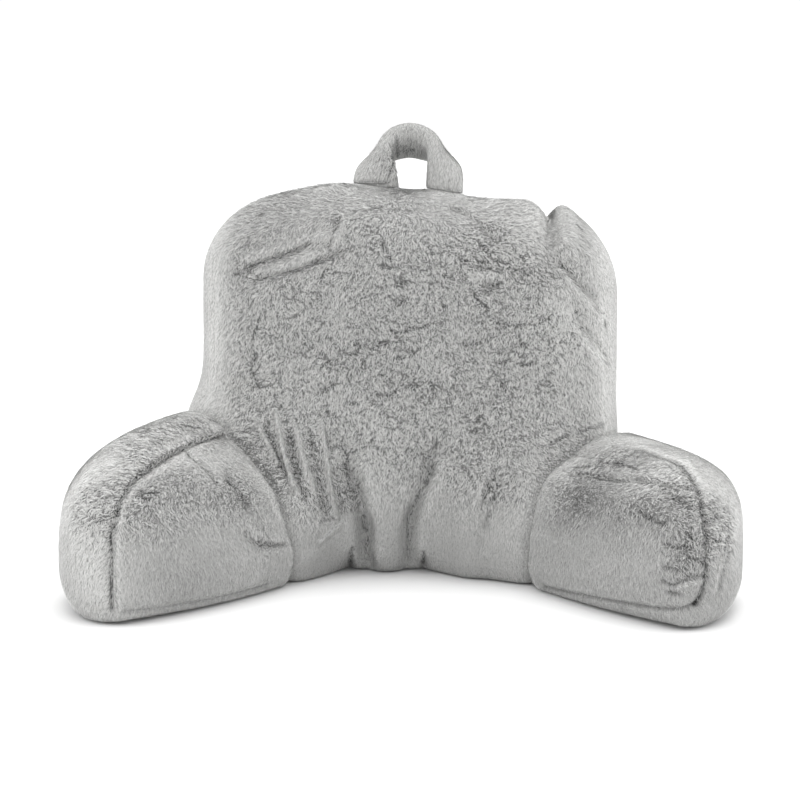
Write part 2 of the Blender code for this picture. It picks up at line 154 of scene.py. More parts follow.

# Folds of the cloth: valleys, painted with shade, and ridges, whose depth and shade are negative and which
# are painted with a highlight. They fade at both ends.
FOLDS = {
    # piece: rows of half_width, depth, shade, pixels
    "backrest": [
        (0.0025, 0.0046, 1.0, [(345, 452), (350, 470), (357, 488), (361, 500), (364, 515), (367, 526),
            (368, 538), (367, 552), (364, 574)]),
        (0.009, -0.004, -0.2, [(362, 455), (368, 480), (374, 505), (380, 530), (380, 560), (378, 576)]),
        (0.007, 0.0022, 0.25, [(342, 452), (350, 480), (356, 505), (361, 530), (361, 560)]),
        (0.007, 0.0016, 0.1, [(430, 450), (424, 480), (414, 500), (405, 520), (404, 550)]),
        (0.0025, 0.0046, 1.0, [(437, 436), (434, 455), (431, 472), (426, 486), (418, 498), (413, 508),
            (410, 520), (410, 535), (408, 550), (407, 574)]),
        (0.009, -0.0035, -0.2, [(446, 450), (440, 480), (430, 502), (422, 522), (421, 545), (419, 562)]),
        (0.0026, 0.004, 0.9, [(353, 546), (351, 560), (350, 575)]),
        (0.0026, 0.004, 0.9, [(424, 550), (423, 560), (422, 576)]),
        (0.003, 0.002, 0.5, [(374, 552), (371, 566)]),
        (0.0024, -0.004, -0.6, [(255, 414), (262, 430), (270, 445), (279, 464)]),
        (0.0026, -0.0046, -0.8, [(275, 404), (279, 425), (281, 440), (284, 455), (288, 470), (293, 483),
            (300, 497)]),
        (0.0026, -0.0046, -0.8, [(292, 418), (299, 434), (301, 450), (305, 464), (309, 477), (315, 494)]),
        (0.0026, -0.0046, -0.8, [(321, 416), (323, 440), (326, 461), (328, 478), (331, 495), (335, 510),
            (338, 526)]),
        (0.0042, 0.0034, 0.8, [(262, 422), (272, 443), (282, 465), (290, 480)]),
        (0.0046, 0.0034, 0.8, [(287, 424), (291, 446), (296, 470), (303, 490), (309, 505)]),
        (0.0052, 0.0034, 0.7, [(309, 430), (314, 455), (319, 478), (324, 500), (327, 518)]),
        (0.005, 0.0022, 0.3, [(334, 470), (340, 495), (346, 515)]),
        (0.003, -0.003, -0.5, [(345, 519), (336, 526), (329, 533), (322, 538), (315, 545)]),
        (0.0026, 0.002, 0.5, [(318, 523), (328, 519), (337, 517)]),
        (0.003, 0.0036, 0.5, [(497, 470), (490, 484), (486, 493), (483, 502)]),
        (0.0034, 0.0036, 0.4, [(504, 472), (498, 487), (492, 500), (489, 515), (484, 530)]),
        (0.004, -0.002, -0.2, [(486, 478), (478, 494), (474, 508)]),
        (0.0026, 0.0034, 0.9, [(234, 273), (248, 267), (262, 261), (278, 256), (301, 248), (314, 240)]),
        (0.006, -0.003, -0.3, [(240, 263), (262, 254), (292, 244), (318, 236), (345, 235)]),
        (0.0026, 0.0036, 0.9, [(250, 281), (274, 275), (299, 268), (326, 258), (352, 246)]),
        (0.005, -0.0028, -0.4, [(256, 272), (278, 267), (302, 260), (322, 251)]),
        (0.0028, 0.0022, 0.4, [(329, 249), (333, 236), (341, 216)]),
        (0.0028, -0.0018, -0.3, [(334, 250), (338, 236), (346, 218)]),
        (0.003, 0.0024, 0.4, [(444, 206), (460, 211), (474, 219), (486, 231), (494, 242)]),
        (0.0028, 0.0036, 0.9, [(558, 260), (567, 271), (579, 284), (590, 295), (600, 311)]),
        (0.0034, -0.002, -0.3, [(562, 272), (573, 286), (584, 297), (593, 310)]),
        (0.0028, 0.0034, 0.8, [(574, 304), (576, 318), (587, 332), (598, 346), (610, 364)]),
        (0.004, -0.0018, -0.3, [(580, 336), (591, 350), (601, 366)]),
        (0.005, 0.005, 0.9, [(480, 287), (486, 285), (492, 284), (500, 286)]),
        (0.006, -0.0024, -0.3, [(466, 278), (482, 275), (500, 277)]),
    ],
    "arm_left": [
        (0.0036, -0.002, -0.3, [(226, 437), (200, 447), (176, 460), (158, 471), (141, 484), (128, 500),
            (122, 516), (118, 540), (117, 580)]),
        (0.0028, 0.003, 0.9, [(184, 451), (199, 462), (208, 470), (219, 484)]),
        (0.008, 0.002, 0.3, [(225, 470), (240, 490), (252, 510)]),
        (0.003, 0.0024, 0.7, [(245, 528), (247, 538), (256, 544), (268, 546), (292, 544)]),
        (0.005, -0.0012, -0.1, [(250, 533), (268, 538), (290, 537)]),
    ],
    "arm_right": [
        (0.004, 0.0026, 0.4, [(728, 540), (728, 556), (724, 570), (722, 580), (718, 594)]),
        (0.0034, -0.0018, -0.2, [(720, 545), (720, 560), (716, 575), (713, 592)]),
        (0.0028, 0.0034, 0.9, [(560, 471), (578, 474), (598, 477), (620, 481), (642, 481), (664, 484),
            (680, 486), (696, 490)]),
        (0.005, -0.0016, -0.1, [(600, 472), (630, 474), (660, 476), (684, 480)]),
        (0.0034, 0.0022, 0.5, [(670, 494), (678, 500), (684, 506), (698, 510)]),
        (0.0034, 0.0022, 0.4, [(672, 584), (690, 578), (706, 575)]),
        (0.003, -0.0016, -0.3, [(672, 589), (690, 584), (704, 580)]),
    ],
}

# Lines of pixels along which each piece's pile parts, painted with shade along the line.
PARTINGS = {
    # piece: lines of pixels
    "backrest": [
        [(262, 316), (257, 326), (253, 336)], [(255, 356), (251, 370)],
        [(251, 371), (255, 379), (260, 388)], [(368, 211), (382, 207)], [(325, 271), (321, 280)],
        [(383, 243), (388, 252), (391, 262)], [(378, 266), (386, 269), (392, 268)],
        [(396, 283), (406, 283)], [(391, 331), (400, 333), (408, 331)],
        [(411, 328), (420, 328), (428, 327)], [(368, 349), (376, 347), (381, 344), (389, 342)],
        [(321, 368), (326, 362), (331, 360), (339, 359)], [(396, 307), (402, 303), (407, 299)],
        [(343, 355), (352, 355), (359, 353)], [(354, 345), (361, 345)],
        [(395, 359), (401, 359), (406, 357)], [(409, 356), (415, 352), (420, 349)],
        [(379, 376), (386, 373)], [(403, 386), (412, 387), (421, 386)], [(430, 384), (434, 393)],
        [(376, 393), (384, 396), (391, 396), (397, 391)], [(346, 403), (358, 404)],
        [(327, 413), (336, 415)], [(398, 340), (405, 342)], [(321, 394), (328, 389), (335, 385)],
        [(364, 360), (366, 372)], [(442, 305), (445, 311)], [(463, 345), (477, 344)],
        [(473, 295), (480, 300), (484, 306), (489, 311)], [(461, 261), (471, 263)],
        [(474, 257), (480, 264), (487, 262)], [(475, 267), (483, 269), (490, 271), (500, 272)],
        [(485, 256), (493, 259), (500, 263), (509, 264)], [(508, 268), (515, 269), (521, 272), (528, 275)],
        [(481, 244), (484, 251), (492, 253)], [(443, 275), (452, 280)], [(428, 244), (432, 252)],
        [(519, 255), (525, 261)], [(537, 272), (543, 278)],
        [(495, 323), (504, 324), (511, 326), (521, 325)], [(540, 323), (551, 316)],
        [(520, 343), (527, 347)], [(519, 365), (528, 365), (534, 363)], [(498, 364), (507, 361)],
        [(501, 383), (506, 391)], [(541, 384), (546, 387)], [(577, 225), (583, 232)],
        [(472, 433), (479, 430)], [(484, 424), (490, 428)], [(476, 421), (482, 416)],
        [(273, 407), (280, 408)], [(342, 447), (345, 453)], [(580, 432), (590, 429), (604, 426)],
        [(553, 444), (560, 439), (570, 435)],
    ],
    "arm_left": [
        [(136, 490), (146, 494), (158, 493)], [(138, 497), (150, 499)], [(90, 519), (108, 520)],
        [(205, 418), (222, 424), (232, 431)], [(180, 425), (200, 428)], [(228, 482), (236, 488)],
    ],
    "arm_right": [
        [(574, 468), (591, 467)], [(614, 463), (628, 466), (637, 470)],
        [(640, 512), (650, 520), (665, 525)], [(684, 531), (693, 541)], [(688, 558), (704, 563)],
        [(664, 568), (682, 570)], [(669, 592), (678, 594)], [(663, 581), (677, 588)],
        [(666, 546), (690, 548)], [(706, 505), (712, 512), (717, 519)], [(709, 537), (720, 543)],
    ],
    "carry_handle": [
        [(396, 136), (397, 150), (396, 170)], [(392, 146), (393, 163), (389, 176)],
        [(360, 183), (372, 182), (384, 184), (390, 181)],
    ],
}
NARROW = 0.0032  # creases narrower than this get finer cloth
FINER_CUTS = 2
FADED_IN, FADING_OUT = 0.12, 0.90  # shares of a fold's way
PARTING = (0.0017, 0.0022, 0.7)  # half width, depth, shade
SEAM_BRUSHED = 0.0090  # the pile leans away from a sewn seam this near it
SEAM_TURN = 1.2
SEAM_ROUNDING = 14  # passes that smooth a sewn seam's way over the skin
OPEN_PILE_SHADE = 0.6  # painted shade: how dark the ground is under ruffled pile
BARE = 0.35  # the pile is short this near a crease's line, as a share of its half width
SHAPED_FALL = 0.0006  # how much further the tips dip in a crease that the cloth itself follows
DARK_NARROWER = 1.35  # how much narrower a crease's painted shade is than its hollow

# ---- ruffle and tone ----
FRONT_RUFFLE = 0.78  # from 0, brushed flat, to 1
ARM_RUFFLE = 0.68
SIDE_RUFFLE = 0.06
HANDLE_RUFFLE = 0.25
FRONT_CALM = (0.03, 0.16)  # heights between which the ruffle of the front panel sets in
REAR_CALM = 0.24  # the upper one is this much higher on the back panel
FRONT_FOOT = 0.10  # share of the ruffle at the foot of a panel
TOP_CALMER = 0.35  # share of the ruffle that the top edge lacks
REAR_CALMER = 0.55  # and the back panel and the arms' outer sides
ARM_CALM = (0.07, 0.13)
ARM_FOOT = 0.35
ARM_EDGE = 0.3  # share of the ruffle at the rounded edges of an arm
PLAIN_TONE = 0.76  # of a strand, from 0, dark, to 1, pale
RUFFLED_TONE = 0.10
# Painted shade in the pile: strands are darker in creases and in the low pits of ruffled pile, and lose
# their pale tips there.
CREASE_PAINTED_SHADE = 0.80  # painted shade: how much darker a strand is in a crease
PIT_PAINTED_SHADE = 0.30
CREASE_TIP_SHADE = 0.60  # painted shade: how much of its pale tip a strand loses in a crease
PIT_TIP_SHADE = 0.40
MOTTLE = 0.04  # how far the tone drifts from place to place
EDGE_BANDS = {"left": 0.080, "right": 0.048}  # widths of the backrest's smooth edges, which carry a painted highlight
# Painted highlight on the rounded front edges, and painted shade on each piece's panels that face the
# front.
RIM_HIGHLIGHT = 0.20
PANEL_PAINTED_SHADE = {"backrest": -0.03, "arm_left": -0.18, "arm_right": -0.30, "carry_handle": -0.12}
# Painted shade where the lamps fall more: the backrest's top, the back panel and the outer sides.
TOP_PAINTED_SHADE = 0.18
REAR_PAINTED_SHADE = 0.30
SIDE_PAINTED_SHADE = 0.20

# Soft round patches where the pile is more ruffled than elsewhere, or less.
RUFFLES = {
    # piece: rows of pixel, radius, more ruffled
    "backrest": [
        ((485, 265), 0.05, 0.55), ((430, 270), 0.04, 0.2), ((520, 330), 0.045, 0.25),
        ((390, 330), 0.06, 0.2), ((480, 420), 0.045, 0.3), ((258, 385), 0.04, 0.3), ((295, 460), 0.05, 0.6),
        ((325, 500), 0.03, 0.3), ((455, 480), 0.045, 0.2), ((500, 490), 0.035, 0.2),
        ((393, 548), 0.045, -0.45), ((470, 550), 0.05, -0.2), ((330, 560), 0.04, -0.3),
        ((585, 300), 0.045, -0.22), ((560, 225), 0.04, -0.2), ((565, 390), 0.04, -0.18),
        ((352, 500), 0.02, 0.4),
    ],
    "arm_left": [
        ((150, 440), 0.045, 0.55), ((195, 428), 0.04, 0.55), ((240, 488), 0.03, 0.55),
        ((95, 500), 0.03, 0.55), ((180, 500), 0.04, 0.2), ((265, 538), 0.016, 0.5),
    ],
    "arm_right": [
        ((600, 465), 0.05, 0.6), ((655, 480), 0.04, 0.4), ((680, 490), 0.03, 0.6), ((570, 500), 0.03, 0.35),
        ((690, 560), 0.03, 0.6), ((722, 535), 0.025, 0.7), ((640, 440), 0.03, -0.4),
    ],
    "carry_handle": [
        ((393, 160), 0.02, 0.7), ((413, 148), 0.016, 0.55),
    ],
}

# Soft round patches where the pile is lighter than elsewhere, or darker: partly its own uneven tone, partly
# a painted highlight on the rims and painted shade low on the front, inside the handle and where the pieces
# meet.
TONE_AND_LIGHT_PATCHES = {
    # piece: rows of pixel, radius, lighter
    "backrest": [
        ((575, 330), 0.05, 0.34), ((370, 440), 0.05, 0.1),
        ((520, 225), 0.06, 0.16), ((400, 205), 0.06, 0.14), ((270, 400), 0.05, 0.08),
        ((262, 225), 0.05, -0.14), ((352, 500), 0.012, -0.15), ((320, 560), 0.045, -0.34),
        ((395, 540), 0.05, -0.22), ((470, 550), 0.05, -0.22),
    ],
    "arm_left": [
        ((180, 425), 0.05, 0.04), ((105, 440), 0.03, 0.2), ((85, 540), 0.04, 0.52), ((90, 480), 0.035, 0.4),
        ((100, 590), 0.03, 0.34), ((190, 575), 0.06, -0.22),
    ],
    "arm_right": [
        ((610, 475), 0.05, -0.46), ((690, 500), 0.04, -0.08), ((650, 440), 0.04, 0.12),
        ((728, 540), 0.04, 0.3),
    ],
    "carry_handle": [
        ((413, 148), 0.016, -0.45), ((394, 150), 0.01, -0.15),
    ],
}

# Where folds run in under the backrest's front edge.
NOTCHES = [
    # x, front, depth, width to the left, width to the right
    (-0.0605, 0.018, 0.022, 0.016, 0.008),
    (0.0259, 0.018, 0.018, 0.009, 0.009),
]
NOTCH_HEIGHT = 0.035

# Seams that the front view doesn't show, in the frame's own metres.
REAR_SEAM_INSET = 0.022
REAR_SEAM_RADIUS = 0.075
REAR_SEAM_FOOT = 0.010
REAR_CROWN = 0.024
OUTER_SEAMS = {
    # arm: foot at the backrest, foot at the tip, height
    "arm_left": ((-0.238, 0.122), (-0.385, -0.074), 0.172),
    "arm_right": ((0.240, 0.122), (0.381, -0.074), 0.152),
}
HIDDEN_SEAM = (0.0040, 0.0040, 0.45)  # half width, depth, shade
HIDDEN_STEP = 0.006  # between the points of such a seam

# Strand colours from root (0) to tip (1), darker towards the root: painted shade down among the strands.
GREY = (1.0, 1.0, 0.982)
DARK_STRAND = [(0.0, 0.02), (0.3, 0.06), (0.65, 0.22), (1.0, 0.42)]
PALE_STRAND = [(0.0, 0.50), (0.35, 0.66), (1.0, 0.88)]
PALE_GROUND = [(0.35, 0.26), (0.70, 0.44)]
# The ground's colour where its painted shade is full, in creases and under open pile.
SHADED_GROUND = (0.06, 0.06, 0.059, 1)
GROUND_SPECKS = 420.0  # specks in a metre of the ground


# ---- small helpers ----

def unit(vectors):
    return vectors / np.maximum(np.linalg.norm(vectors, axis=-1, keepdims=True), 1e-9)


def smooth_step(low, high, value):
    share = np.clip((value - low) / (high - low), 0.0, 1.0)
    return share * share * (3.0 - 2.0 * share)


def added(values, ruffle):
    """A value of the pile: its first number, and its second as far as the pile is ruffled."""
    return values[0] + values[1] * ruffle


def above(least, share):
    """A share that runs from a least value to 1."""
    return least + (1.0 - least) * share


def along_surface(vectors, normals):
    """The part of each vector that runs along the surface, at length 1."""
    return unit(vectors - normals * (vectors * normals).sum(axis=1, keepdims=True))


def turned(vectors, normals, angle):
    """Each vector, square to its normal, turned round it."""
    side = np.cross(normals, vectors)
    return vectors * np.cos(angle)[:, None] + side * np.sin(angle)[:, None]


def lattice(cell, seed):
    """A fixed random value in 0..1 for each whole-number cell."""
    x, y, z = (cell[:, k].astype(np.uint32) for k in range(3))
    mix = x * np.uint32(73856093) ^ y * np.uint32(19349663) ^ z * np.uint32(83492791)
    mix ^= np.uint32(seed * 2654435 + 1)
    mix ^= mix >> np.uint32(13)
    mix *= np.uint32(1274126177)
    mix ^= mix >> np.uint32(16)
    return (mix & np.uint32(0xFFFF)) / 65535.0


def noise(points, size, seed):
    """Smooth noise from -1 to 1 whose bumps are about one size across."""
    at = points / size + 1000.0
    base = np.floor(at)
    t = at - base
    t = t * t * (3.0 - 2.0 * t)
    base = base.astype(np.int64)
    total = np.zeros(len(points))
    for corner in range(8):
        step = np.array([corner & 1, corner >> 1 & 1, corner >> 2 & 1])
        weight = np.prod(np.where(step, t, 1.0 - t), axis=1)
        total += weight * lattice(base + step, seed)
    return total * 2.0 - 1.0


def threes(items, name, dtype=float):
    """A value of each item that has three numbers."""
    flat = np.empty(len(items) * 3, dtype=dtype)
    items.foreach_get(name, flat)
    return flat.reshape(-1, 3)


def points_of(mesh):
    return threes(mesh.vertices, "co")


def normals_of(mesh):
    return threes(mesh.vertex_normals, "vector")


def triangles_of(mesh):
    mesh.calc_loop_triangles()
    return threes(mesh.loop_triangles, "vertices", np.int32)


def set_points(mesh, points):
    mesh.vertices.foreach_set("co", points.ravel())
    mesh.update()


def tree_of(mesh):
    return BVHTree.FromPolygons(points_of(mesh).tolist(), triangles_of(mesh).tolist())


def placed(name, data):
    """A new object in the scene."""
    piece = bpy.data.objects.new(name, data)
    bpy.context.scene.collection.objects.link(piece)
    return piece


def applied(piece):
    """Leave the piece with its evaluated mesh and no modifiers."""
    graph = bpy.context.evaluated_depsgraph_get()
    mesh = bpy.data.meshes.new_from_object(piece.evaluated_get(graph))
    piece.modifiers.clear()
    piece.data = mesh


# ---- camera and studio ----

def add_camera():
    data = bpy.data.cameras.new("camera")
    data.sensor_width = SENSOR
    data.lens = FOCAL_PIXELS / IMAGE * SENSOR
    camera = placed("camera", data)
    camera.location = CAMERA_AT
    camera.rotation_euler = Vector(CAMERA_AIM - CAMERA_AT).to_track_quat("-Z", "Y").to_euler()
    bpy.context.scene.camera = camera


def pixel_ray(x, y):
    """The direction in which the camera looks through a pixel."""
    forward = Vector(CAMERA_AIM - CAMERA_AT).normalized()
    right = forward.cross(Vector((0, 0, 1))).normalized()
    up = right.cross(forward)
    across = right * (x - IMAGE / 2) / FOCAL_PIXELS
    return (forward + across - up * (y - IMAGE / 2) / FOCAL_PIXELS).normalized()


def add_sun(name, towards, across, strength):
    data = bpy.data.lights.new(name, "SUN")
    data.angle = math.radians(across)
    data.energy = strength
    light = placed(name, data)
    light.rotation_euler = Vector(towards).to_track_quat("Z", "Y").to_euler()


def add_studio():
    """A white backdrop that lights the object less than it shows, a pale floor and soft lamps."""
    world = bpy.data.worlds.new("studio")
    world.use_nodes = True
    nodes, links = world.node_tree.nodes, world.node_tree.links
    backdrop = nodes["Background"]
    backdrop.inputs["Color"].default_value = (1, 1, 1, 1)
    seen = nodes.new("ShaderNodeLightPath")
    strength = nodes.new("ShaderNodeMapRange")
    strength.inputs["To Min"].default_value = AMBIENT
    strength.inputs["To Max"].default_value = BACKDROP
    links.new(seen.outputs["Is Camera Ray"], strength.inputs["Value"])
    links.new(strength.outputs["Result"], backdrop.inputs["Strength"])
    bpy.context.scene.world = world
    for sun in SUNS:
        add_sun(*sun)
    mesh = bpy.data.meshes.new("floor")
    corners = [(x * FLOOR_HALF, y * FLOOR_HALF, 0) for x, y in ((-1, -1), (1, -1), (1, 1), (-1, 1))]
    mesh.from_pydata(corners, [], [(0, 1, 2, 3)])
    floor = placed("floor", mesh)
    paper, surface = new_material("paper", 1.0, 0.0)
    surface.inputs["Base Color"].default_value = (PAPER, PAPER, PAPER, 1)
    mesh.materials.append(paper)


# ---- materials ----

def new_material(name, roughness, specular):
    """A material, and the node of its surface."""
    material = bpy.data.materials.new(name)
    material.use_nodes = True
    surface = material.node_tree.nodes["Principled BSDF"]
    surface.inputs["Roughness"].default_value = roughness
    surface.inputs["Specular IOR Level"].default_value = specular
    return material, surface


def ramp_node(nodes, stops):
    ramp = nodes.new("ShaderNodeValToRGB")
    elements = ramp.color_ramp.elements
    while len(elements) < len(stops):
        elements.new(0.5)
    for element, (position, grey) in zip(elements, stops):
        element.position = position
        element.color = tuple(grey * tint for tint in GREY) + (1,)
    return ramp


def fur_material():
    """Plush strands, from roots darkened with painted shade to pale tips. Their map holds the tone (x) and
    the way along (y).
    """
    material, surface = new_material("plush", 0.9, 0.2)
    nodes, links = material.node_tree.nodes, material.node_tree.links
    surface.inputs["Sheen Weight"].default_value = 0.5
    surface.inputs["Sheen Roughness"].default_value = 0.4
    place = nodes.new("ShaderNodeUVMap")
    place.uv_map = "OFBake"
    split = nodes.new("ShaderNodeSeparateXYZ")
    links.new(place.outputs["UV"], split.inputs[0])
    blend = nodes.new("ShaderNodeMix")
    blend.data_type = "RGBA"
    links.new(split.outputs["X"], blend.inputs["Factor"])
    for stops, socket in ((DARK_STRAND, "A"), (PALE_STRAND, "B")):
        ramp = ramp_node(nodes, stops)
        links.new(split.outputs["Y"], ramp.inputs[0])
        links.new(ramp.outputs["Color"], blend.inputs[socket])
    links.new(blend.outputs["Result"], surface.inputs["Base Color"])
    return material


def skin_material():
    """The knitted ground under the pile: mottled, and painted with shade under open pile and in creases."""
    material, surface = new_material("ground_cloth", 0.95, 0.1)
    nodes, links = material.node_tree.nodes, material.node_tree.links
    place = nodes.new("ShaderNodeTexCoord")
    speck = nodes.new("ShaderNodeTexNoise")
    speck.inputs["Scale"].default_value = GROUND_SPECKS
    speck.inputs["Detail"].default_value = 3.0
    links.new(place.outputs["Object"], speck.inputs["Vector"])
    pale = ramp_node(nodes, PALE_GROUND)
    links.new(speck.outputs["Fac"], pale.inputs["Fac"])
    # Painted shade on the ground: its 'depth' attribute, dark in creases and under open pile.
    depth = nodes.new("ShaderNodeAttribute")
    depth.attribute_name = "depth"
    darker = nodes.new("ShaderNodeMix")
    darker.data_type = "RGBA"
    darker.inputs["B"].default_value = SHADED_GROUND
    links.new(depth.outputs["Fac"], darker.inputs["Factor"])
    links.new(pale.outputs["Color"], darker.inputs["A"])
    links.new(darker.outputs["Result"], surface.inputs["Base Color"])
    return material


# ---- cloth skins ----

def puff(piece):
    """Blow the cloth up from inside with the cloth solver. Its flat underside stays where it is."""
    start = points_of(piece.data)
    base = piece.vertex_groups.new(name="base")
    low = np.nonzero(start[:, 2] < 3.0 * (SKIN_SINK + START_SINK))[0]
    base.add(low.tolist(), 1.0, "REPLACE")
    cloth = piece.modifiers.new("puff", "CLOTH")
    settings = cloth.settings
    settings.quality = 4
    settings.mass = 0.25
    settings.tension_stiffness = 12.0
    settings.compression_stiffness = 6.0
    settings.bending_stiffness = 0.3
    settings.use_pressure = True
    settings.uniform_pressure_force = PUFF_PRESSURE
    settings.vertex_group_mass = base.name
    settings.effector_weights.gravity = 0.0
    for step in range(1, PUFF_FRAMES + 1):
        bpy.context.scene.frame_set(step)
    applied(piece)
    bpy.context.scene.frame_set(1)
    moved = points_of(piece.data) - start
    length = np.linalg.norm(moved, axis=1, keepdims=True)
    moved *= np.minimum(1.0, PUFF_CAP / np.maximum(length, 1e-9))
    set_points(piece.data, start + moved)


def hold_between(points, solid, least, most):
    """Points moved so that each lies between two depths under the solid's face."""
    held = points.copy()
    for k, point in enumerate(points):
        spot, normal, _, _ = solid.find_nearest(Vector(point))
        under = (spot - Vector(point)).dot(normal)
        held[k] = point + np.array(normal) * (under - min(max(under, least[k]), most[k]))
    return held


def base_share(points, normals):
    """1 on the flat underside, 0 elsewhere."""
    return smooth_step(-0.4, -0.85, normals[:, 2]) * (points[:, 2] < BASE_TOP)


def sewn_down(node, points, solids):
    """0 where the handle is sewn to the backrest, and 1 elsewhere, on either piece."""
    other = {"backrest": "carry_handle", "carry_handle": "backrest"}.get(node)
    if other is None:
        return 1.0
    gaps = [solids[other].find_nearest(point, CROWDED)[3] for point in points.tolist()]
    return smooth_step(0.0, CROWDED, np.array([CROWDED if gap is None else gap for gap in gaps]))


def make_skin(node, solids):
    """The cloth of one chamber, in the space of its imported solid."""
    skin = placed(node + "_skin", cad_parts[node].data.copy())
    solid = solids[node]
    remesh = skin.modifiers.new("even", "REMESH")
    remesh.mode = "VOXEL"
    remesh.voxel_size = VOXEL[node]
    smooth = skin.modifiers.new("soften", "SMOOTH")
    smooth.factor = 0.5
    smooth.iterations = 5
    applied(skin)
    simulated = node != "carry_handle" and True
    points, normals = points_of(skin.data), normals_of(skin.data)
    free = sewn_down(node, points, solids)
    base = base_share(points, normals)
    sink = SKIN_SINK * above(SEWN_SINK, free) * (1.0 - base) + FLOOR_CLEAR * base
    loose = free * (1.0 - base)
    start = sink + (START_SINK * loose if simulated else 0.0)
    set_points(skin.data, points - normals * start[:, None])
    if simulated:
        puff(skin)
        points = hold_between(points_of(skin.data), solid, sink - PLAY * loose, sink + PLAY * loose)
        points[:, 2] = np.maximum(points[:, 2], FLOOR_CLEAR)
        set_points(skin.data, points)
    return skin


def nearest_on_path(points, path):
    """How far each point is from a path, the way to it from there, and how far along the path that is."""
    nearest = np.full(len(points), np.inf)
    way = np.zeros_like(points)
    along = np.zeros(len(points))
    for k, (start, end) in enumerate(zip(path, path[1:])):
        run = end - start
        share = np.clip((points - start) @ run / max(run @ run, 1e-12), 0.0, 1.0)
        gap = points - start - share[:, None] * run
        distance = np.linalg.norm(gap, axis=1)
        closer = distance < nearest
        nearest[closer] = distance[closer]
        way[closer] = gap[closer]
        along[closer] = (k + share[closer]) / (len(path) - 1)
    return nearest, way, along


def rounded(path, passes):
    """A path with its kinks smoothed out between its two ends."""
    path = np.array(path, float)
    for _ in range(passes):
        path[1:-1] = (path[:-2] + 2.0 * path[1:-1] + path[2:]) / 4.0
    return path


def even_path(corners, step):
    """A polyline's points, set evenly and with its corners rounded."""
    corners = np.array(corners, float)
    length = np.concatenate([[0.0], np.cumsum(np.linalg.norm(np.diff(corners, axis=0), axis=1))])
    at = np.linspace(0.0, length[-1], max(2, int(length[-1] / step) + 1))
    return rounded(np.stack([np.interp(at, length, column) for column in corners.T], axis=1), 2)


def path_through_pixels(pixels, tree):
    """Where the camera sees a line of pixels on a skin."""
    hits = []
    for x, y in even_path(pixels, PIXEL_STEP):
        spot, _, _, _ = tree.ray_cast(Vector(CAMERA_AT), pixel_ray(x, y))
        if spot is not None:
            hits.append(np.array(spot))
    return hits


def path_on_skin(points, tree):
    return [np.array(tree.find_nearest(Vector(point))[0]) for point in points]


def rear_seam(tree):
    """The back panel's seam: a rounded rectangle, open at the foot."""
    low, high = (np.array(corner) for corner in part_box("backrest"))
    left, right = low[0] + REAR_SEAM_INSET, high[0] - REAR_SEAM_INSET
    top, radius = high[2] - REAR_SEAM_INSET, REAR_SEAM_RADIUS
    quarter = np.radians(np.linspace(0.0, 90.0, 10))
    arc_left = [(left + radius * (1 - math.cos(a)), top - radius * (1 - math.sin(a))) for a in quarter]
    arc_right = [(right - radius * (1 - math.sin(a)), top - radius * (1 - math.cos(a))) for a in quarter]
    foot = REAR_SEAM_FOOT
    outline = even_path([(left, foot)] + arc_left + arc_right + [(right, foot)], HIDDEN_STEP)
    return path_on_skin([(x, high[1] - REAR_CROWN, z) for x, z in outline], tree)


def outer_seam(node, tree):
    """An arm's outer seam: up from the tip's foot, over its arch and back to the backrest."""
    root, tip, height = OUTER_SEAMS[node]
    along = np.concatenate([np.ones(6), np.linspace(1.0, 0.0, 24)])
    rise = np.concatenate([np.linspace(0.05, 0.75, 6), 1.0 - 0.25 * np.linspace(1.0, 0.0, 24) ** 4])
    root, tip = np.array(root), np.array(tip)
    spots = [(*(root + (tip - root) * share), height * up) for share, up in zip(along, rise)]
    return path_on_skin(even_path(spots, HIDDEN_STEP), tree)


class Crease(NamedTuple):
    path: list
    half_width: float
    depth: float  # a ridge's is negative
    # painted shade along the crease; a ridge's negative shade is a painted highlight
    shade: float
    cuts: bool  # the pile parts along it
    fades: bool  # it runs out at both ends
    shapes_skin: bool

    def near(self, distance, along):
        """1 on the crease, and 0 away from it and past its ends."""
        strength = np.exp(-((distance / self.half_width) ** 2))
        if self.fades:
            strength = strength * smooth_step(0.0, FADED_IN, along) * smooth_step(1.0, FADING_OUT, along)
        return strength


def creases_of(node, tree):
    creases = []
    for half_width, depth, shade, pixels in SEAMS.get(node, []):
        path = path_on_skin(rounded(path_through_pixels(pixels, tree), SEAM_ROUNDING), tree)
        creases.append(Crease(path, half_width, depth, shade, cuts=True, fades=False, shapes_skin=True))
    for half_width, depth, shade, pixels in FOLDS.get(node, []):
        path = path_through_pixels(pixels, tree)
        valley = depth > 0.0
        creases.append(Crease(path, half_width, depth, shade, cuts=valley, fades=True, shapes_skin=True))
    for pixels in PARTINGS.get(node, []):
        path = path_through_pixels(pixels, tree)
        creases.append(Crease(path, *PARTING, cuts=True, fades=False, shapes_skin=False))
    if node != "carry_handle":
        path = rear_seam(tree) if node == "backrest" else outer_seam(node, tree)
        creases.append(Crease(path, *HIDDEN_SEAM, cuts=True, fades=False, shapes_skin=True))
    return [crease for crease in creases if len(crease.path) > 1]


def within_reach(points, crease):
    """Which points a crease can change."""
    path = np.array(crease.path)
    reach = PILE + 3.0 * crease.half_width
    inside = (points > path.min(axis=0) - reach) & (points < path.max(axis=0) + reach)
    return np.nonzero(np.all(inside, axis=1))[0]


def patches(rows, points, tree):
    """The sum of soft round patches, at each point."""
    total = np.zeros(len(points))
    for pixel, radius, amount in rows:
        spot = tree.ray_cast(Vector(CAMERA_AT), pixel_ray(*pixel))[0]
        if spot is not None:
            away = np.linalg.norm(points - np.array(spot), axis=1)
            total += amount * np.exp(-((away / radius) ** 2))
    return total


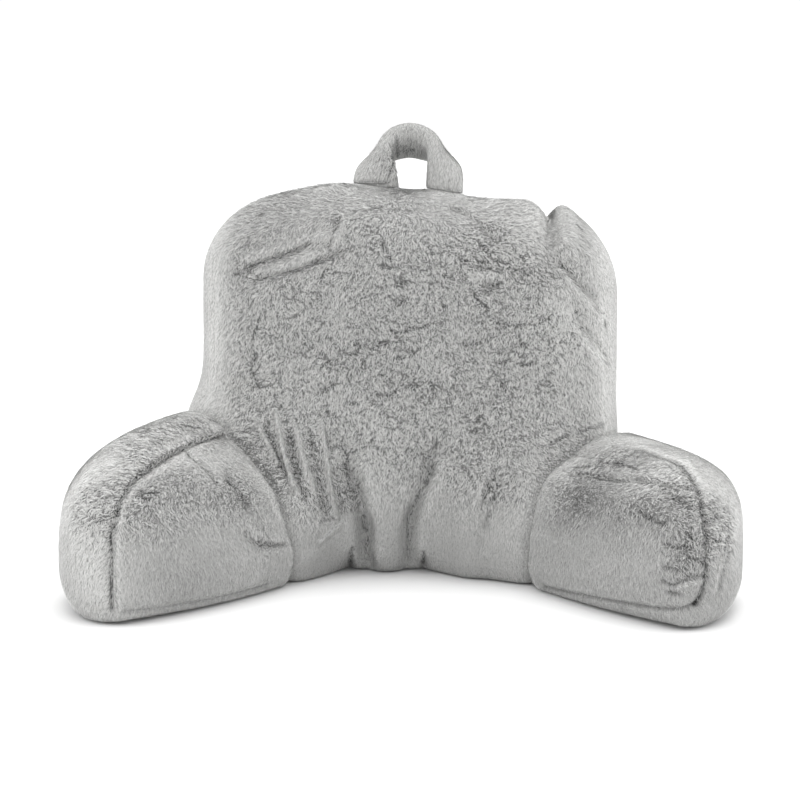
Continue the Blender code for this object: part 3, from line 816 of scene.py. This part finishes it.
def rear_share(normals):
    """1 where the cloth faces back, and 0 where it faces forward."""
    return smooth_step(0.0, 0.6, normals[:, 1])


def panel_share(node, points, normals):
    """1 on the flat of a piece's panels, and 0 on its rounded edges and boxing."""
    if node == "carry_handle":
        return np.full(len(points), 0.7)
    if node != "backrest":
        return smooth_step(0.25, 0.60, -normals[:, 1])
    low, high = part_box(node)
    from_left, from_right = points[:, 0] - low[0], high[0] - points[:, 0]
    inset = np.minimum(from_left / EDGE_BANDS["left"], from_right / EDGE_BANDS["right"])
    return smooth_step(0.35, 0.75, np.hypot(normals[:, 1], normals[:, 2])) * smooth_step(0.40, 1.0, inset)


def ruffle_at(node, points, normals, tree):
    """How ruffled the pile is at each point, from 0, brushed flat, to 1."""
    panel = panel_share(node, points, normals)
    if node == "backrest":
        top = smooth_step(0.2, 0.8, normals[:, 2])
        high = smooth_step(FRONT_CALM[0], FRONT_CALM[1] + REAR_CALM * rear_share(normals), points[:, 2])
        high = high * (1.0 - TOP_CALMER * top)
        amount = SIDE_RUFFLE + (FRONT_RUFFLE - SIDE_RUFFLE) * panel * above(FRONT_FOOT, high)
    elif node == "carry_handle":
        amount = np.full(len(points), HANDLE_RUFFLE)
    else:
        high = smooth_step(*ARM_CALM, points[:, 2])
        amount = SIDE_RUFFLE + (ARM_RUFFLE - SIDE_RUFFLE) * above(ARM_FOOT, high) * above(ARM_EDGE, panel)
    uneven = 1.0 + 0.35 * noise(points, size=0.035, seed=31)
    amount = amount * uneven * (1.0 - REAR_CALMER * rear_share(normals))
    return np.clip(amount + patches(RUFFLES.get(node, []), points, tree), 0.0, 1.0)


def refine(mesh, creases):
    """Split the cloth's faces beside its narrow creases."""
    points = points_of(mesh)
    close = np.zeros(len(points), bool)
    for crease in creases:
        near = within_reach(points, crease)
        if crease.shapes_skin and crease.half_width < NARROW and len(near):
            close[near] |= nearest_on_path(points[near], crease.path)[0] < 2.0 * crease.half_width
    work = bmesh.new()
    work.from_mesh(mesh)
    edges = [edge for edge in work.edges if close[edge.verts[0].index] and close[edge.verts[1].index]]
    bmesh.ops.subdivide_edges(work, edges=edges, cuts=FINER_CUTS, use_grid_fill=True)
    work.to_mesh(mesh)
    work.free()
    mesh.update()


def crease_skin(node, skin):
    """Draw the skin in along its seams and folds, and say how its pile lies at each point."""
    mesh = skin.data
    tree = tree_of(mesh)
    creases = creases_of(node, tree)
    refine(mesh, creases)
    points, normals = points_of(mesh), normals_of(mesh)
    ruffle = ruffle_at(node, points, normals, tree)
    panel = panel_share(node, points, normals)
    rear = rear_share(normals)
    edge = (1.0 - panel) * smooth_step(0.35, -0.25, normals[:, 1])
    # Patches of the pile's own tone mixed with painted highlight and painted shade, on the front only.
    tone = patches(TONE_AND_LIGHT_PATCHES.get(node, []), points, tree) * (1.0 - rear)
    # Painted highlight on the rounded front edges, and painted shade on the panels.
    tone = tone + RIM_HIGHLIGHT * edge + PANEL_PAINTED_SHADE[node] * panel
    # Painted shade on the back panel and on the outer sides.
    tone -= REAR_PAINTED_SHADE * rear + SIDE_PAINTED_SHADE * smooth_step(0.80, 0.98, np.abs(normals[:, 0]))
    inward, dark, away = np.zeros(len(points)), np.zeros(len(points)), np.zeros((len(points), 3))
    for crease in creases:
        near = within_reach(points, crease)
        if not len(near):
            continue
        distance, way, along = nearest_on_path(points[near], crease.path)
        strength = crease.near(distance, along)
        dark[near] += crease.shade * strength
        if crease.shapes_skin:
            inward[near] += crease.depth * strength
        ruffle[near] *= 1.0 - np.clip(-crease.shade, 0.0, 1.0) * strength
        if crease.shapes_skin and not crease.fades:
            reach = np.exp(-((distance / SEAM_BRUSHED) ** 2))
            away[near] += unit(way) * (SEAM_TURN * reach)[:, None]
    # Painted shade on the ground: dark along creases and under open, ruffled pile, kept in the 'depth'
    # attribute.
    deep = np.clip(dark + OPEN_PILE_SHADE * smooth_step(0.3, 0.9, ruffle), 0.0, 1.0)
    mesh.attributes.new("depth", "FLOAT", "POINT").data.foreach_set("value", deep.astype(np.float32))
    points = points - normals * inward[:, None]
    for x, front, depth, left, right in NOTCHES if node == "backrest" else ():
        aside = np.where(points[:, 0] < x, left, right)
        strength = np.exp(-np.abs(points[:, 0] - x) / aside) * smooth_step(NOTCH_HEIGHT, 0.0, points[:, 2])
        points[:, 1] += depth * strength * smooth_step(front + 3.0 * depth, front, points[:, 1])
    points[:, 2] = np.maximum(points[:, 2], FLOOR_CLEAR)
    set_points(mesh, points)
    mesh.shade_smooth()
    return {"ruffle": ruffle, "tone": tone, "away": away}, creases


def crowding(points, others):
    """How much room the pile has beside its neighbours, from 0, none, to 1."""
    room = np.ones(len(points))
    for tree in others:
        for k, point in enumerate(points):
            spot, normal, _, distance = tree.find_nearest(Vector(point), CROWDED)
            if spot is None:
                continue
            room[k] = min(room[k], distance / CROWDED)
            if (Vector(point) - spot).dot(normal) < 0.0:
                room[k] = 0.0
    return room


# ---- pile ----

def nap(node, points, normals):
    """Which way the pile lies: down the panels, round the backrest's top edge, and along the arms' tops."""
    down = np.tile([0.0, -0.1, -1.0], (len(points), 1))
    if node == "backrest":
        over = np.tile([0.0, -0.2, -0.3], (len(points), 1))
        over[:, 0] = np.tanh(points[:, 0] / TOP_NAP_TURN)
        high = smooth_step(0.3, 0.8, normals[:, 2])[:, None]
    elif node == "carry_handle":
        over, high = np.array([0.0, -0.3, -1.0]), np.ones((len(points), 1))
    else:
        side = -1.0 if node == "arm_left" else 1.0
        over = np.array([0.80 * side, -0.60, -0.20])
        high = smooth_step(0.2, 0.7, normals[:, 2])[:, None]
    lie = along_surface(down * (1.0 - high) + over * high, normals)
    turn = 0.30 * noise(points, size=0.070, seed=41) + 0.22 * noise(points, size=0.022, seed=42)
    return turned(lie, normals, turn)


def scatter(mesh, count, rng, weight):
    """Places spread over a mesh: triangle corners and each corner's share."""
    points, tris = points_of(mesh), triangles_of(mesh)
    a, b, c = (points[tris[:, k]] for k in range(3))
    area = np.linalg.norm(np.cross(b - a, c - a), axis=1) / 2
    ends = np.cumsum(area * weight[tris].mean(axis=1))
    at = (np.arange(count) + rng.random(count)) / count * ends[-1]
    pick = np.minimum(np.searchsorted(ends, at), len(tris) - 1)
    u, v = rng.random(count), rng.random(count)
    over = u + v > 1
    u[over], v[over] = 1 - u[over], 1 - v[over]
    return tris[pick], np.stack([1 - u - v, u, v], axis=1)


def spread(values, corners, shares):
    """A per-vertex value read at scattered places."""
    picked = values[corners]
    return np.einsum("nk,nk...->n...", shares, picked)


def footing(tree, spots):
    """The nearest place on a skin to each spot, and the skin's normal there."""
    found = [tree.find_nearest(spot) for spot in spots.tolist()]
    return np.array([row[0] for row in found]), np.array([row[1] for row in found])


def gather_tufts(points):
    """Which tuft each point belongs to: uneven cells about TUFT across."""
    bend = np.stack([noise(points, TUFT * 1.8, seed) for seed in (81, 82, 83)], axis=1)
    cell = np.floor((points + bend * TUFT * 0.8) / TUFT).astype(np.int64)
    cell -= cell.min(axis=0)
    sides = cell.max(axis=0) + 1
    _, own = np.unique(np.ravel_multi_index(cell.T, sides), return_inverse=True)
    return own


def mean_by(own, values):
    """The mean of a value over each tuft."""
    columns = values.reshape(len(values), -1).T
    sums = np.stack([np.bincount(own, weights=column) for column in columns], axis=1)
    means = sums / np.bincount(own)[:, None]
    return means if values.ndim > 1 else means[:, 0]


def curl_field(points, size, seed):
    """Smooth noise whose zero lines are where the pile parts into curls."""
    bend = np.stack([noise(points, size * 1.7, seed + k) for k in (1, 2, 3)], axis=1)
    return noise(points * CURL_SQUEEZE + bend * size * 0.5, size, seed)


def curl_height(field):
    """A curl's rounded back, from 0 at its partings to 1."""
    return 1.0 - (1.0 - np.clip(np.abs(field) * 3.0, 0.0, 1.0)) ** 2


def lay_in_curls(root, lie, long, ruffle, rng):
    """Part the pile into curls: the share of each strand kept, and its root's and tip's rise."""
    keep = np.ones(len(root))
    rise_root, rise_tip = np.zeros(len(root)), np.zeros(len(root))
    for row, (size, height, least, full) in enumerate(CURLS):
        amount = smooth_step(least, full, ruffle)
        patchy = smooth_step(-0.35, 0.25, noise(root, size * 2.2, 61 + row)) * amount
        here = curl_field(root, size, 71 + 10 * row)
        there = curl_field(root + lie * long[:, None], size, 71 + 10 * row)
        crosses = (here * there < 0.0) & (0.6 * rng.random(len(root)) < patchy)
        share = np.abs(here) / np.maximum(np.abs(here) + np.abs(there), 1e-6)
        keep = np.where(crosses, np.minimum(keep, above(CURL_CUT, share)), keep)
        rise_root += height * amount * (curl_height(here) - 0.5)
        rise_tip += height * amount * (curl_height(np.where(crosses, 0.0, there)) - 0.5)
    return keep, rise_root, rise_tip


def lay_in_creases(root, tip, creases):
    """What creases do to each strand: the share of it kept, its tip's fall past its root, its shade."""
    keep, fall, shade = np.ones(len(root)), np.zeros(len(root)), np.zeros(len(root))
    for crease in creases:
        near = within_reach(root, crease)
        if not len(near):
            continue
        root_gap, root_way, root_along = nearest_on_path(root[near], crease.path)
        tip_gap, tip_way, tip_along = nearest_on_path(tip[near], crease.path)
        middle_gap, _, middle_along = nearest_on_path((root[near] + tip[near]) / 2.0, crease.path)
        deeper = crease.near(tip_gap, tip_along) - crease.near(root_gap, root_along)
        fall[near] += (SHAPED_FALL if crease.shapes_skin else crease.depth) * deeper
        shade[near] += crease.shade * crease.near(middle_gap * DARK_NARROWER, middle_along)
        if crease.cuts:
            inside = (root_along > 0.0) & (root_along < 1.0)
            crosses = inside & ((root_way * tip_way).sum(axis=1) < 0.0)
            share = root_gap / np.maximum(root_gap + tip_gap, 1e-6)
            keep[near[crosses]] = np.minimum(keep[near[crosses]], above(CREASE_CUT, share[crosses]))
            bottom = inside & (root_gap < BARE * crease.half_width) & (crease.shade > 0.85)
            keep[near[bottom]] = np.minimum(keep[near[bottom]], 0.3)
    return keep, fall, np.clip(shade, -1.0, 1.0)


def strand_mesh(name, corners, normals, tone, pale):
    """A mesh of loose triangles, each a strand from its root to its tip."""
    count = len(corners)
    mesh = bpy.data.meshes.new(name)
    mesh.vertices.add(count * 3)
    mesh.vertices.foreach_set("co", corners.ravel())
    mesh.loops.add(count * 3)
    mesh.loops.foreach_set("vertex_index", np.arange(count * 3, dtype=np.int32))
    mesh.polygons.add(count)
    mesh.polygons.foreach_set("loop_start", np.arange(0, count * 3, 3, dtype=np.int32))
    mesh.polygons.foreach_set("loop_total", np.full(count, 3, dtype=np.int32))
    mesh.update(calc_edges=True)
    layer = mesh.uv_layers.new(name="OFBake")
    half = 0.004
    across = np.clip(tone, half, 1.0 - half)[:, None] + np.array([-half, half, 0.0])
    along = np.stack([np.full(count, 0.01), np.full(count, 0.01), np.clip(pale, 0.05, 0.99)], axis=1)
    layer.uv.foreach_set("vector", np.stack([across, along], axis=2).astype(np.float32).ravel())
    mesh.normals_split_custom_set_from_vertices(np.repeat(normals, 3, axis=0))
    return mesh


def grow_coat(node, skin, fields, creases, room, seed):
    """The plush on a skin: leaning strands gathered in tufts, in one or more joined meshes."""
    rng = np.random.default_rng(seed)
    mesh = skin.data
    points, normals = points_of(mesh), normals_of(mesh)
    base = base_share(points, normals)
    weight = (1.0 - BASE_THINNER * base) * smooth_step(0.0, 0.12, room)
    weight = weight * (1.0 - REAR_THINNER * smooth_step(0.3, 0.8, normals[:, 1]))
    count = STRANDS[node]
    corners, shares = scatter(mesh, count, rng, weight)
    at = spread(points, corners, shares)
    normal = unit(spread(normals, corners, shares))
    ruffle = spread(fields["ruffle"], corners, shares)
    free = spread(room, corners, shares)
    flat = spread(base, corners, shares)

    own = gather_tufts(at)
    tuft_at, tuft_normal, tuft_ruffle = mean_by(own, at), unit(mean_by(own, normal)), mean_by(own, ruffle)
    twist = np.sign(curl_field(tuft_at, CURLS[0][0], 71)) * CURL_TURN * tuft_ruffle
    twist += rng.normal(0.0, 1.0, len(tuft_at)) * added(TUFT_TWIST, tuft_ruffle)
    away = mean_by(own, spread(fields["away"], corners, shares))
    tuft_nap = along_surface(nap(node, tuft_at, tuft_normal) + away, tuft_normal)
    tuft_lie = turned(tuft_nap, tuft_normal, twist)
    tuft_lean = FLAT_LEAN + (RUFFLED_LEAN - FLAT_LEAN) * tuft_ruffle
    tuft_lean = np.radians(tuft_lean + rng.normal(0.0, 1.0, len(tuft_at)) * added(TUFT_LEAN, tuft_ruffle))
    tuft_tone = rng.normal(0.0, 1.0, len(tuft_at))
    tuft_pit = rng.random(len(tuft_at)) < PITS

    pit = tuft_pit[own] * smooth_step(0.15, 0.6, ruffle)
    lie = along_surface(tuft_lie[own], normal)
    lie = turned(lie, normal, rng.normal(0.0, STRAND_TWIST, count) * (1.0 + TWIST_MORE * ruffle))
    lean = tuft_lean[own] + rng.normal(0.0, STRAND_LEAN, count) * (1.0 + LEAN_MORE * ruffle)
    lean = np.clip(lean, *LEAN_RANGE)
    long = PILE + (RUFFLED_PILE - PILE) * ruffle
    long = long * np.clip(rng.normal(1.0, LENGTH_SPREAD, count), *LENGTH_RANGE)
    long *= above(CROWDED_PILE, free) * (1.0 - BASE_SHORTER * flat) * (1.0 - PIT_SHORTER * pit)

    curl_keep, rise_root, rise_tip = lay_in_curls(at, lie, long, ruffle, rng)
    crease_keep, fall, shade = lay_in_creases(at, at + lie * long[:, None], creases)
    kept = np.minimum(curl_keep, crease_keep)
    long = long * kept
    root = at + normal * (rise_root - ROOT_SINK)[:, None]
    run = lie * (long * np.sin(lean))[:, None]
    pull = np.clip(rng.normal(GATHER, GATHER_SPREAD, count) + GATHER_MORE * ruffle, 0.0, GATHER_MOST)
    pull *= 1.0 - flat
    pull *= smooth_step(0.3, 0.8, free) * smooth_step(0.5, 1.0, kept) * (1.0 - np.clip(shade, 0.0, 1.0))
    gathered = tuft_at[own] + tuft_lie[own] * (long * np.sin(lean))[:, None]
    reach = at + run + (gathered - at - run) * pull[:, None]
    below, tip_normal = footing(tree_of(mesh), reach)
    tip = below + tip_normal * (long * np.cos(lean) + rise_tip - fall)[:, None]
    across = unit(np.cross(tip - root, normal)) * (STRAND_WIDTH / 2)
    triangle = np.stack([root - across, root + across, tip], axis=1)
    triangle[:, :, 2] = np.maximum(triangle[:, :, 2], FLOOR_CLEAR / 2)

    face = unit(np.cross(triangle[:, 1] - triangle[:, 0], triangle[:, 2] - triangle[:, 0]))
    face *= np.where((face * normal).sum(axis=1) < 0, -1.0, 1.0)[:, None]
    stiff = added(STIFF, ruffle)[:, None]
    soft = unit(normal * (1.0 - stiff) + face * stiff)
    tone = PLAIN_TONE + RUFFLED_TONE * ruffle + spread(fields["tone"], corners, shares)
    own_tone = rng.normal(0.0, 1.0, count) * added(STRAND_TONE, ruffle)
    tone += tuft_tone[own] * added(TUFT_TONE, ruffle) + own_tone
    # Painted shade: strands are darker in creases and in the low pits of ruffled pile; the mottle is the
    # pile's own uneven tone.
    tone += MOTTLE * noise(at, size=0.030, seed=51) - CREASE_PAINTED_SHADE * shade - PIT_PAINTED_SHADE * pit
    # Painted shade on the backrest's top.
    tone -= TOP_PAINTED_SHADE * smooth_step(0.2, 0.8, normal[:, 2]) * (node == "backrest")
    # Painted shade: in creases and pits the strands' tips are painted less pale.
    pale = 1.0 - CREASE_TIP_SHADE * shade - PIT_TIP_SHADE * pit
    order = np.argsort(at[:, 1], kind="stable")
    coats = []
    for k, part in enumerate(np.array_split(order, COATS[node])):
        name = node + "_fur" + (f"_{k + 1}" if COATS[node] > 1 else "")
        strands = strand_mesh(name, triangle[part], soft[part], tone[part], pale[part])
        coats.append(placed(name, strands))
    return coats


# ---- the object ----

add_camera()
add_studio()
bpy.context.scene.view_settings.view_transform = "Standard"

plush, ground = fur_material(), skin_material()
solids = {node: tree_of(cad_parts[node].data) for node in STRANDS}
skins, fields, creases = {}, {}, {}
for node in STRANDS:
    skins[node] = make_skin(node, solids)
    fields[node], creases[node] = crease_skin(node, skins[node])
for seed, node in enumerate(STRANDS):
    skin = skins[node]
    skin.data.materials.clear()
    skin.data.materials.append(ground)
    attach(skin, "root")
    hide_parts(node)
    others = [solids[other] for other in STRANDS if other != node]
    room = crowding(points_of(skin.data), others)
    for coat in grow_coat(node, skin, fields[node], creases[node], room, 11 + seed):
        coat.data.materials.append(plush)
        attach(coat, "root")
